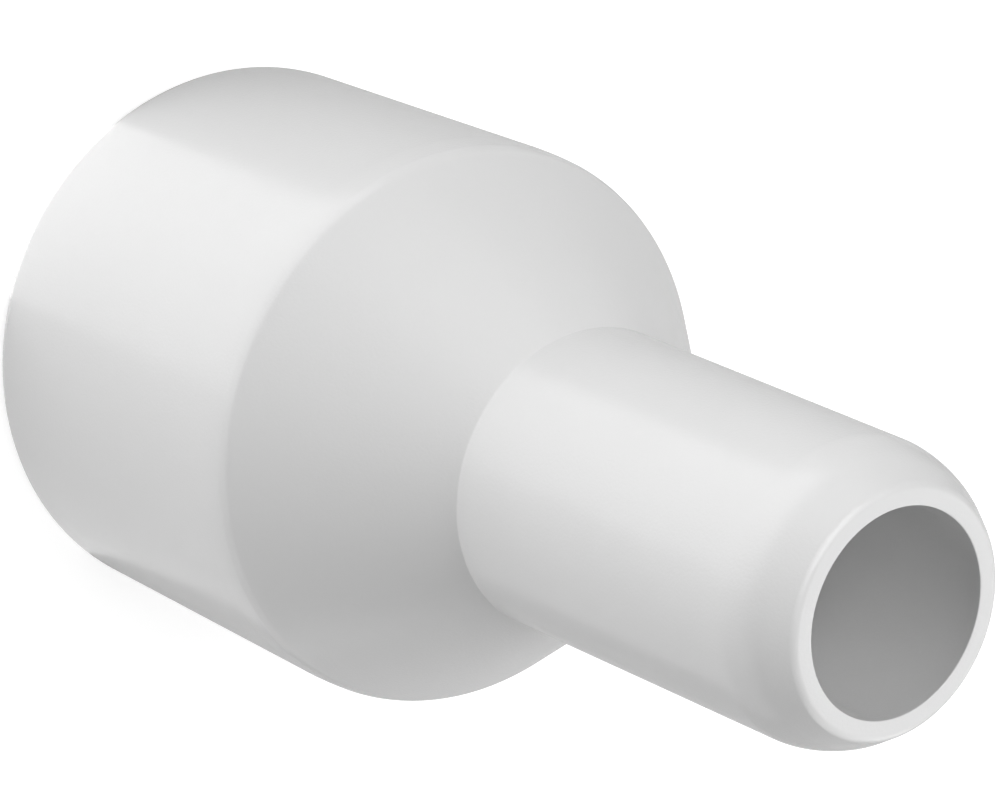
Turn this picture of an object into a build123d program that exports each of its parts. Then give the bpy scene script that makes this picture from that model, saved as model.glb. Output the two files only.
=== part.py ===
from build123d import *
import math
import os

# Pipe reducer, moulded in one piece from white plastic. Millimetres.
# The origin is the centre of the wide end's rim, and +Z runs along the axis to the spigot's tip.

# Wide end: a socket that a plastic waste pipe is pushed into.
large_pipe_diameter = 36.2
socket_clearance = 0.08
socket_wall = 2.82
socket_depth = 27.0
pipe_stop_step = 2.0
lead_in_width = 0.5
lead_in_depth = 1.0
wide_end_length = 31.7
wide_end_draft = 0.5
rim_rounding = 1.6

# Cone between the two ends. The wall bends in slightly just before the shoulder.
bend_length = 1.9
bend_angle = 4.0
bend_rounding = 24.0
shoulder_rounding = 2.0
cone_length = 14.2
cone_wall = 3.1
root_rounding = 0.3
throat_rounding = 3.0
inner_shoulder_rounding = 2.0
stop_corner_rounding = 0.3

# Spigot: a tapered end that goes into a smaller pipe or hose. The tip's wall is the one that
# the taper alone would leave there, before the nose takes its share.
spigot_root_diameter = 21.64
spigot_length = 32.2
spigot_draft = 1.0
spigot_tip_wall = 3.26
bore_draft = 1.0
nose_length = 3.2
nose_angle = 31.5
nose_rounding = 7.0
tip_rounding = 0.7
bore_edge_rounding = 0.2

# Positions along the axis.
shoulder_z = wide_end_length
bend_z = shoulder_z - bend_length
root_z = shoulder_z + cone_length
tip_z = root_z + spigot_length
nose_z = tip_z - nose_length

# Outside radii.
socket_radius = large_pipe_diameter / 2 + socket_clearance
wide_end_radius = socket_radius + socket_wall
bend_radius = wide_end_radius - bend_z * math.tan(math.radians(wide_end_draft))
shoulder_radius = bend_radius - bend_length * math.tan(math.radians(wide_end_draft + bend_angle))
root_radius = spigot_root_diameter / 2
nose_radius = root_radius - (nose_z - root_z) * math.tan(math.radians(spigot_draft))
tip_radius = nose_radius - nose_length * math.tan(math.radians(nose_angle))

# Inside radii. The inner cone runs parallel to the outer one, one wall thickness inside it.
stop_radius = socket_radius - pipe_stop_step
cone_slope = (shoulder_radius - root_radius) / cone_length
cone_offset = cone_wall * math.sqrt(1 + cone_slope**2)
bore_tip_radius = root_radius - spigot_length * math.tan(math.radians(spigot_draft)) - spigot_tip_wall
bore_slope = math.tan(math.radians(bore_draft))
inner_shoulder_z = shoulder_z + (shoulder_radius - cone_offset - stop_radius) / cone_slope
bore_radius_at_shoulder = bore_tip_radius + (tip_z - inner_shoulder_z) * bore_slope
throat_z = inner_shoulder_z + (stop_radius - bore_radius_at_shoulder) / (cone_slope - bore_slope)
throat_radius = bore_tip_radius + (tip_z - throat_z) * bore_slope


def turned(corners):
    """A solid of revolution about Z from the corners of its section: radius, height and rounding."""
    points = [(radius, 0, height) for radius, height, rounding in corners]
    section = make_face(Polyline(*points, close=True))
    for (radius, height, rounding), point in zip(corners, points):
        if rounding > 0:
            corner = section.vertices().sort_by_distance(point)[0]
            section = fillet(corner, rounding)
    return revolve(section, Axis.Z, 360)


# The wall's outside, from the socket's mouth to the tip.
outside = [
    (socket_radius + lead_in_width, 0, 0),
    (wide_end_radius, 0, rim_rounding),
    (bend_radius, bend_z, bend_rounding),
    (shoulder_radius, shoulder_z, shoulder_rounding),
    (root_radius, root_z, root_rounding),
    (nose_radius, nose_z, nose_rounding),
    (tip_radius, tip_z, tip_rounding),
]

# The wall's inside, from the tip back: tapered bore, inner cone, pipe stop, socket and lead-in.
inside = [
    (bore_tip_radius, tip_z, bore_edge_rounding),
    (throat_radius, throat_z, throat_rounding),
    (stop_radius, inner_shoulder_z, inner_shoulder_rounding),
    (stop_radius, socket_depth, 0),
    (socket_radius, socket_depth, stop_corner_rounding),
    (socket_radius, lead_in_depth, 0),
]

reducer = turned(outside + inside)

os.makedirs("parts", exist_ok=True)
export_step(reducer, "parts/reducer.step")
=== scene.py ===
"""A moulded plastic pipe reducer, standing on its wide end in a plain white studio."""

import logging
import math
from dataclasses import dataclass
from enum import Enum

import bmesh
import bpy
from mathutils import Euler, Matrix, Vector


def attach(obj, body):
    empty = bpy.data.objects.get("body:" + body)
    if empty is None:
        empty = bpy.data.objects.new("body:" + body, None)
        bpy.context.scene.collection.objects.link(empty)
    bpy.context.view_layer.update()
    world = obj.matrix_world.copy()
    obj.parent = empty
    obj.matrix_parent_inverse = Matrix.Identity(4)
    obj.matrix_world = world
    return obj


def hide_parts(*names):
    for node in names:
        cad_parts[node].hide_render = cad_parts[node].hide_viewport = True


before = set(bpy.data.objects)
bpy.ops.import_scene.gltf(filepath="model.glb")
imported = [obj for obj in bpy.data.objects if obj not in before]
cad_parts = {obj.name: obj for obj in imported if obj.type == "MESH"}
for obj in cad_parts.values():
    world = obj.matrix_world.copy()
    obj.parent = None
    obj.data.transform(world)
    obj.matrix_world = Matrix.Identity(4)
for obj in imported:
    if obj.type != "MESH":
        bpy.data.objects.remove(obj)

MM = 0.001
WHITE = "#FFFFFF"
# Noise seldom leaves this range, so the gloss is spread over it.
NOISE_RANGE = (0.3, 0.7)
# Four of the floor panels meet here, under the reducer. It sets where their edges show in it.
TILE_CORNER = (1 * MM, -12.7 * MM)
LOG = logging.getLogger("pipe_reducer")


def linear_colour(hex_code: str) -> tuple[float, float, float, float]:
    """Turn an sRGB hex colour into the linear colour that a shader takes.

    Args:
        hex_code: The colour as six hex digits with a leading hash sign.

    Returns:
        Red, green, blue and alpha, with alpha at one.
    """
    channels = [int(hex_code[i : i + 2], 16) / 255 for i in (1, 3, 5)]
    red, green, blue = (c / 12.92 if c <= 0.04045 else ((c + 0.055) / 1.055) ** 2.4 for c in channels)
    return red, green, blue, 1.0


def add_node(
    tree: bpy.types.NodeTree,
    kind: str,
    values: dict[str | int, object] | None = None,
    links: dict[str | int, bpy.types.NodeSocket] | None = None,
    **settings: object,
) -> bpy.types.Node:
    """Add a shader node with its settings, socket values and incoming links.

    Args:
        tree: The node tree that the node goes into.
        kind: The node's type name.
        values: Input socket name or number to the value set on it.
        links: Input socket name or number to the output that feeds it.
        settings: The node's own properties.

    Returns:
        The new node.
    """
    node = tree.nodes.new(kind)
    for name, value in settings.items():
        setattr(node, name, value)
    for socket, value in (values or {}).items():
        node.inputs[socket].default_value = value
    for socket, source in (links or {}).items():
        tree.links.new(source, node.inputs[socket])
    return node


@dataclass(frozen=True)
class MouldedPvc:
    """White rigid PVC, injection moulded in a steel mould with a fine spark-eroded grain.

    The even grain breaks the gloss up just enough that a lamp shows as a soft-edged band and not
    as a mirror picture. Where the melt filled the mould last, its skin is a shade duller, so the
    gloss and the tone drift a little from place to place. Sizes are in millimetres.
    """

    name: str = "moulded_white_pvc"
    colour: str = "#EAEAEA"
    late_colour: str = "#E7E7E7"
    roughness: float = 0.2
    roughness_drift: float = 0.03
    ior: float = 1.53
    grain_size: float = 0.2
    grain_depth: float = 0.011
    drift_size: float = 9.0

    def material(self) -> bpy.types.Material:
        """Build the material.

        Returns:
            The plastic, ready to be assigned.
        """
        material = bpy.data.materials.new(self.name)
        material.use_nodes = True
        tree = material.node_tree
        tree.nodes.clear()
        place = add_node(tree, "ShaderNodeTexCoord").outputs["Object"]
        # The real grain is about 0.1 mm, too fine for this picture, so it is drawn coarser.
        grain = add_node(
            tree,
            "ShaderNodeTexNoise",
            values={"Scale": 1 / (self.grain_size * MM), "Detail": 2.0, "Roughness": 0.5},
            links={"Vector": place},
        )
        bump = add_node(
            tree,
            "ShaderNodeBump",
            values={"Strength": 1.0, "Distance": self.grain_depth * MM},
            links={"Height": grain.outputs["Fac"]},
        )
        drift = add_node(
            tree,
            "ShaderNodeTexNoise",
            values={"Scale": 1 / (self.drift_size * MM), "Detail": 3.0, "Roughness": 0.5},
            links={"Vector": place},
        )
        gloss = add_node(
            tree,
            "ShaderNodeMapRange",
            values={
                "From Min": NOISE_RANGE[0],
                "From Max": NOISE_RANGE[1],
                "To Min": self.roughness - self.roughness_drift,
                "To Max": self.roughness + self.roughness_drift,
            },
            links={"Value": drift.outputs["Fac"]},
        )
        tone = add_node(
            tree,
            "ShaderNodeMix",
            values={6: linear_colour(self.colour), 7: linear_colour(self.late_colour)},
            links={0: drift.outputs["Fac"]},
            data_type="RGBA",
        )
        shader = add_node(
            tree,
            "ShaderNodeBsdfPrincipled",
            values={"IOR": self.ior, "Metallic": 0.0},
            links={
                "Base Color": tone.outputs[2],
                "Roughness": gloss.outputs["Result"],
                "Normal": bump.outputs["Normal"],
            },
        )
        add_node(tree, "ShaderNodeOutputMaterial", links={"Surface": shader.outputs["BSDF"]})
        return material


@dataclass(frozen=True)
class Corner:
    """One corner of the wall's section, in millimetres.

    The rounding is the radius that the corner gets, and the steps are the facets that draw it.
    """

    radius: float
    height: float
    rounding: float = 0.0
    steps: int = 0

    def is_near(self, vertex: bmesh.types.BMVert) -> bool:
        """Tell whether a vertex lies on the ring that this corner turns into."""
        reach = 0.002 * MM
        off_radius = abs(vertex.co.xy.length - self.radius * MM)
        off_height = abs(vertex.co.z - self.height * MM)
        return off_radius < reach and off_height < reach


@dataclass
class ReducerBody:
    """The reducer's one moulded piece, with its sizes in millimetres."""

    rim_radius: float = 21.0
    rim_rounding: float = 1.6
    bend_radius: float = 20.740
    bend_height: float = 29.8
    bend_rounding: float = 24.0
    shoulder_radius: float = 20.590
    shoulder_height: float = 31.7
    shoulder_rounding: float = 2.0
    root_radius: float = 10.82
    root_height: float = 45.9
    root_rounding: float = 0.3
    nose_radius: float = 10.314
    nose_height: float = 74.9
    nose_rounding: float = 7.0
    tip_radius: float = 8.353
    tip_height: float = 78.1
    tip_rounding: float = 0.7
    bore_radius: float = 6.998
    bore_edge_rounding: float = 0.08
    throat_radius: float = 7.573
    throat_height: float = 45.150
    throat_rounding: float = 3.0
    stop_radius: float = 16.18
    inner_shoulder_height: float = 32.641
    inner_shoulder_rounding: float = 2.0
    socket_radius: float = 18.18
    socket_depth: float = 27.0
    stop_corner_rounding: float = 0.3
    lead_in_radius: float = 18.68
    lead_in_height: float = 1.0
    steps_round: int = 360
    finish: MouldedPvc = MouldedPvc()

    def section(self) -> list[Corner]:
        """List the corners of the wall's section, once round from the lead-in's edge."""
        return [
            Corner(self.lead_in_radius, 0.0),
            Corner(self.rim_radius, 0.0, self.rim_rounding, 10),
            Corner(self.bend_radius, self.bend_height, self.bend_rounding, 6),
            Corner(self.shoulder_radius, self.shoulder_height, self.shoulder_rounding, 12),
            Corner(self.root_radius, self.root_height, self.root_rounding, 5),
            Corner(self.nose_radius, self.nose_height, self.nose_rounding, 16),
            Corner(self.tip_radius, self.tip_height, self.tip_rounding, 8),
            Corner(self.bore_radius, self.tip_height, self.bore_edge_rounding, 6),
            Corner(self.throat_radius, self.throat_height, self.throat_rounding, 10),
            Corner(self.stop_radius, self.inner_shoulder_height, self.inner_shoulder_rounding, 8),
            Corner(self.stop_radius, self.socket_depth),
            Corner(self.socket_radius, self.socket_depth, self.stop_corner_rounding, 5),
            Corner(self.socket_radius, self.lead_in_height),
        ]

    def turn_angle(self, at: int) -> float:
        """Work out how far the section turns at one of its corners.

        Args:
            at: The corner's place in the section.

        Returns:
            The turn in radians.
        """
        ring = [Vector((corner.radius, corner.height)) for corner in self.section()]
        before, here, after = ring[at - 1], ring[at], ring[(at + 1) % len(ring)]
        return (here - before).angle(after - here)

    def turned(self) -> bmesh.types.BMesh:
        """Turn the section round the axis into a closed wall with sharp corners.

        Returns:
            The mesh, with its faces pointing outwards.
        """
        mesh = bmesh.new()
        ring = [mesh.verts.new((corner.radius * MM, 0, corner.height * MM)) for corner in self.section()]
        for start, end in zip(ring, ring[1:] + ring[:1]):
            mesh.edges.new((start, end))
        bmesh.ops.spin(
            mesh,
            geom=mesh.verts[:] + mesh.edges[:],
            cent=(0, 0, 0),
            axis=(0, 0, 1),
            angle=2 * math.pi,
            steps=self.steps_round,
            use_merge=True,
        )
        bmesh.ops.remove_doubles(mesh, verts=mesh.verts[:], dist=0.0001 * MM)
        bmesh.ops.recalc_face_normals(mesh, faces=mesh.faces[:])
        return mesh

    def round_corners(self, mesh: bmesh.types.BMesh) -> None:
        """Round the corners of the turned wall, each with its own radius.

        Args:
            mesh: The turned wall, which is changed.
        """
        for at, corner in enumerate(self.section()):
            if corner.rounding == 0.0:
                continue
            ring = [edge for edge in mesh.edges if all(corner.is_near(end) for end in edge.verts)]
            bmesh.ops.bevel(
                mesh,
                geom=ring,
                offset=corner.rounding * MM * math.tan(self.turn_angle(at) / 2),
                offset_type="OFFSET",
                segments=corner.steps,
                profile=0.5,
                affect="EDGES",
                material=-1,
            )

    def build(self) -> bpy.types.Object:
        """Make the wall, give it its plastic and put it in the place of the solid.

        Returns:
            The finished piece.
        """
        mesh = self.turned()
        self.round_corners(mesh)
        data = bpy.data.meshes.new("reducer_body")
        mesh.to_mesh(data)
        mesh.free()
        data.shade_smooth()
        piece = bpy.data.objects.new("reducer_body", data)
        bpy.context.scene.collection.objects.link(piece)
        data.materials.append(self.finish.material())
        smoothing = piece.modifiers.new("flat_walls_stay_straight", "WEIGHTED_NORMAL")
        smoothing.mode = "FACE_AREA"
        smoothing.weight = 100
        smoothing.keep_sharp = True
        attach(piece, "root")
        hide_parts("reducer")
        return piece


def facing(azimuth: float, elevation: float) -> Matrix:
    """Turn a thing that looks along its own minus Z, so that it looks down at the middle.

    Args:
        azimuth: The turn round the vertical in degrees, where zero looks along plus Y.
        elevation: How steeply it looks down in degrees.

    Returns:
        The turn as a matrix.
    """
    tilt = math.radians(90 - elevation)
    return Euler((tilt, 0, math.radians(azimuth))).to_matrix().to_4x4()


@dataclass(frozen=True)
class CameraView:
    """Where the camera stands: it looks down on the reducer and is turned on its side."""

    aim: tuple[float, float, float] = (-2.833 * MM, 0.0, 34.066 * MM)
    distance: float = 263.95 * MM
    elevation: float = 50.603
    azimuth: float = 0.0
    roll: float = 112.520
    lens: float = 133.042
    sensor_width: float = 36.0
    clip_start: float = 10 * MM

    def build(self) -> bpy.types.Object:
        """Place the camera and make it the scene's own.

        Returns:
            The camera.
        """
        data = bpy.data.cameras.new("studio_camera")
        data.lens = self.lens
        data.sensor_width = self.sensor_width
        data.clip_start = self.clip_start
        camera = bpy.data.objects.new("studio_camera", data)
        bpy.context.scene.collection.objects.link(camera)
        camera.matrix_world = (
            Matrix.Translation(self.aim)
            @ facing(self.azimuth, self.elevation)
            @ Matrix.Translation((0, 0, self.distance))
            @ Matrix.Rotation(math.radians(self.roll), 4, "Z")
        )
        bpy.context.scene.camera = camera
        return camera


class LampShape(Enum):
    """The outline of a lamp's lit face."""

    SQUARE = "SQUARE"
    OBLONG = "RECTANGLE"


def hang_lamp(
    name: str, shape: LampShape, width: float, height: float, level: float, place: Matrix
) -> bpy.types.Object:
    """Make an area lamp that the camera doesn't see.

    Args:
        name: The lamp's name.
        shape: The outline of its lit face.
        width: The face's width in metres.
        height: The face's height in metres.
        level: How bright the face is, where one is white.
        place: Where the lamp is, shining along its own minus Z.

    Returns:
        The lamp.
    """
    data = bpy.data.lights.new(name, "AREA")
    data.shape = shape.value
    data.size, data.size_y = width, height
    data.energy = level * math.pi * width * height
    lamp = bpy.data.objects.new(name, data)
    bpy.context.scene.collection.objects.link(lamp)
    lamp.matrix_world = place
    lamp.visible_camera = False
    return lamp


@dataclass(frozen=True)
class SoftLamp:
    """A soft lamp hung round the reducer and pointed at its middle, with its size in metres."""

    name: str
    azimuth: float
    elevation: float
    width: float
    height: float
    level: float
    distance: float = 1.0
    aim: tuple[float, float, float] = (0.0, 0.0, 35 * MM)

    def build(self) -> bpy.types.Object:
        """Hang the lamp and point it.

        Returns:
            The lamp.
        """
        place = (
            Matrix.Translation(self.aim)
            @ facing(self.azimuth + 90, self.elevation)
            @ Matrix.Translation((0, 0, self.distance))
        )
        return hang_lamp(self.name, LampShape.OBLONG, self.width, self.height, self.level, place)


@dataclass(frozen=True)
class FloorPanel:
    """A square light panel lying on the floor and facing up, with its size in metres.

    A panel that is not mirrored lights the walls but leaves no highlight in their roundings.
    """

    name: str
    near_corner: tuple[float, float]
    azimuth: float
    side: float
    level: float
    lift: float = 0.2 * MM
    mirrored: bool = True

    def build(self) -> bpy.types.Object:
        """Lay the panel down, with its near corner in place and its diagonal along the azimuth.

        Returns:
            The panel.
        """
        corner = Vector((*self.near_corner, self.lift))
        place = (
            Matrix.Translation(corner)
            @ Matrix.Rotation(math.radians(self.azimuth - 45), 4, "Z")
            @ Matrix.Translation((self.side / 2, self.side / 2, 0))
            @ Matrix.Rotation(math.pi, 4, "X")
        )
        panel = hang_lamp(self.name, LampShape.SQUARE, self.side, self.side, self.level, place)
        panel.visible_glossy = self.mirrored
        return panel


@dataclass
class Studio:
    """The white room round the reducer: floor, world and lamps.

    Only camera rays see the floor lifted to white, so it adds no light. The panels on the floor
    stand for one softbox, whose edges show as two lines along the walls.
    """

    floor_size: float = 1.6
    floor_gap: float = 0.05 * MM
    floor_colour: str = "#B8B8B8"
    floor_lift: float = 0.73
    lamps: tuple[SoftLamp | FloorPanel, ...] = (
        FloorPanel("panel_left", near_corner=TILE_CORNER, azimuth=247.5, side=0.4, level=1.22),
        FloorPanel(
            "panel_far_left",
            near_corner=(-90 * MM, -220 * MM),
            azimuth=247.5,
            side=1.0,
            level=2.9,
            mirrored=False,
        ),
        FloorPanel("panel_front", near_corner=TILE_CORNER, azimuth=337.5, side=0.3, level=0.63),
        FloorPanel("panel_back", near_corner=TILE_CORNER, azimuth=157.5, side=0.12, level=0.18),
        FloorPanel("panel_right", near_corner=TILE_CORNER, azimuth=67.5, side=0.3, level=0.18),
        SoftLamp("high_back", azimuth=180, elevation=66, width=0.8, height=0.8, level=1.86),
        SoftLamp("high_left", azimuth=225, elevation=66, width=0.8, height=0.8, level=1.58),
        SoftLamp("high_front", azimuth=270, elevation=66, width=0.8, height=0.8, level=0.9),
        SoftLamp("side_right", azimuth=90, elevation=45, width=0.9, height=0.7, level=1.0),
        SoftLamp("low_right", azimuth=45, elevation=20, width=1.0, height=0.6, level=1.5),
        SoftLamp("low_left", azimuth=215, elevation=16, width=1.0, height=0.5, level=0.34),
        SoftLamp("low_back", azimuth=85, elevation=10, width=0.9, height=0.3, level=1.3),
    )

    def floor_finish(self) -> bpy.types.Material:
        """Build the floor's matt paint.

        The camera sees it lifted to white, with a faint shadow left. From below it is clear, so
        that the socket can be looked into.

        Returns:
            The paint, ready to be assigned.
        """
        material = bpy.data.materials.new("white_studio_floor")
        material.use_nodes = True
        tree = material.node_tree
        tree.nodes.clear()
        colour = linear_colour(self.floor_colour)
        paint = add_node(tree, "ShaderNodeBsdfDiffuse", values={"Color": colour})
        path = add_node(tree, "ShaderNodeLightPath")
        strength = add_node(
            tree,
            "ShaderNodeMath",
            values={1: self.floor_lift},
            links={0: path.outputs["Is Camera Ray"]},
            operation="MULTIPLY",
        )
        lift = add_node(tree, "ShaderNodeEmission", links={"Strength": strength.outputs[0]})
        both = add_node(tree, "ShaderNodeAddShader", links={0: paint.outputs[0], 1: lift.outputs[0]})
        side = add_node(tree, "ShaderNodeNewGeometry")
        clear = add_node(tree, "ShaderNodeBsdfTransparent")
        one_sided = add_node(
            tree,
            "ShaderNodeMixShader",
            links={0: side.outputs["Backfacing"], 1: both.outputs[0], 2: clear.outputs[0]},
        )
        add_node(tree, "ShaderNodeOutputMaterial", links={"Surface": one_sided.outputs[0]})
        return material

    def floor(self) -> bpy.types.Object:
        """Lay the floor that the reducer stands on."""
        mesh = bmesh.new()
        bmesh.ops.create_grid(mesh, x_segments=1, y_segments=1, size=self.floor_size / 2)
        data = bpy.data.meshes.new("studio_floor")
        mesh.to_mesh(data)
        mesh.free()
        floor = bpy.data.objects.new("studio_floor", data)
        floor.location.z = -self.floor_gap
        bpy.context.scene.collection.objects.link(floor)
        data.materials.append(self.floor_finish())
        return floor

    def world(self) -> bpy.types.World:
        """Show the room beyond the floor as white, with no light of its own."""
        world = bpy.data.worlds.new("studio_room")
        bpy.context.scene.world = world
        world.use_nodes = True
        tree = world.node_tree
        tree.nodes.clear()
        path = add_node(tree, "ShaderNodeLightPath")
        back = add_node(
            tree,
            "ShaderNodeBackground",
            values={"Color": linear_colour(WHITE)},
            links={"Strength": path.outputs["Is Camera Ray"]},
        )
        add_node(tree, "ShaderNodeOutputWorld", links={"Surface": back.outputs[0]})
        return world

    def build(self) -> None:
        """Set up the floor, the world and every lamp."""
        self.floor()
        self.world()
        for lamp in self.lamps:
            lamp.build()
            LOG.info("lamp %s hung", lamp.name)


def main() -> None:
    """Build the reducer, the studio and the camera, and log the reducer's face count."""
    logging.basicConfig(level=logging.INFO, format="%(name)s: %(message)s")
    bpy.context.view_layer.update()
    bpy.context.scene.view_settings.view_transform = "Standard"
    CameraView().build()
    body = ReducerBody().build()
    LOG.info("%s built with %d faces", body.name, len(body.data.polygons))
    Studio().build()


if __name__ == "__main__":
    main()
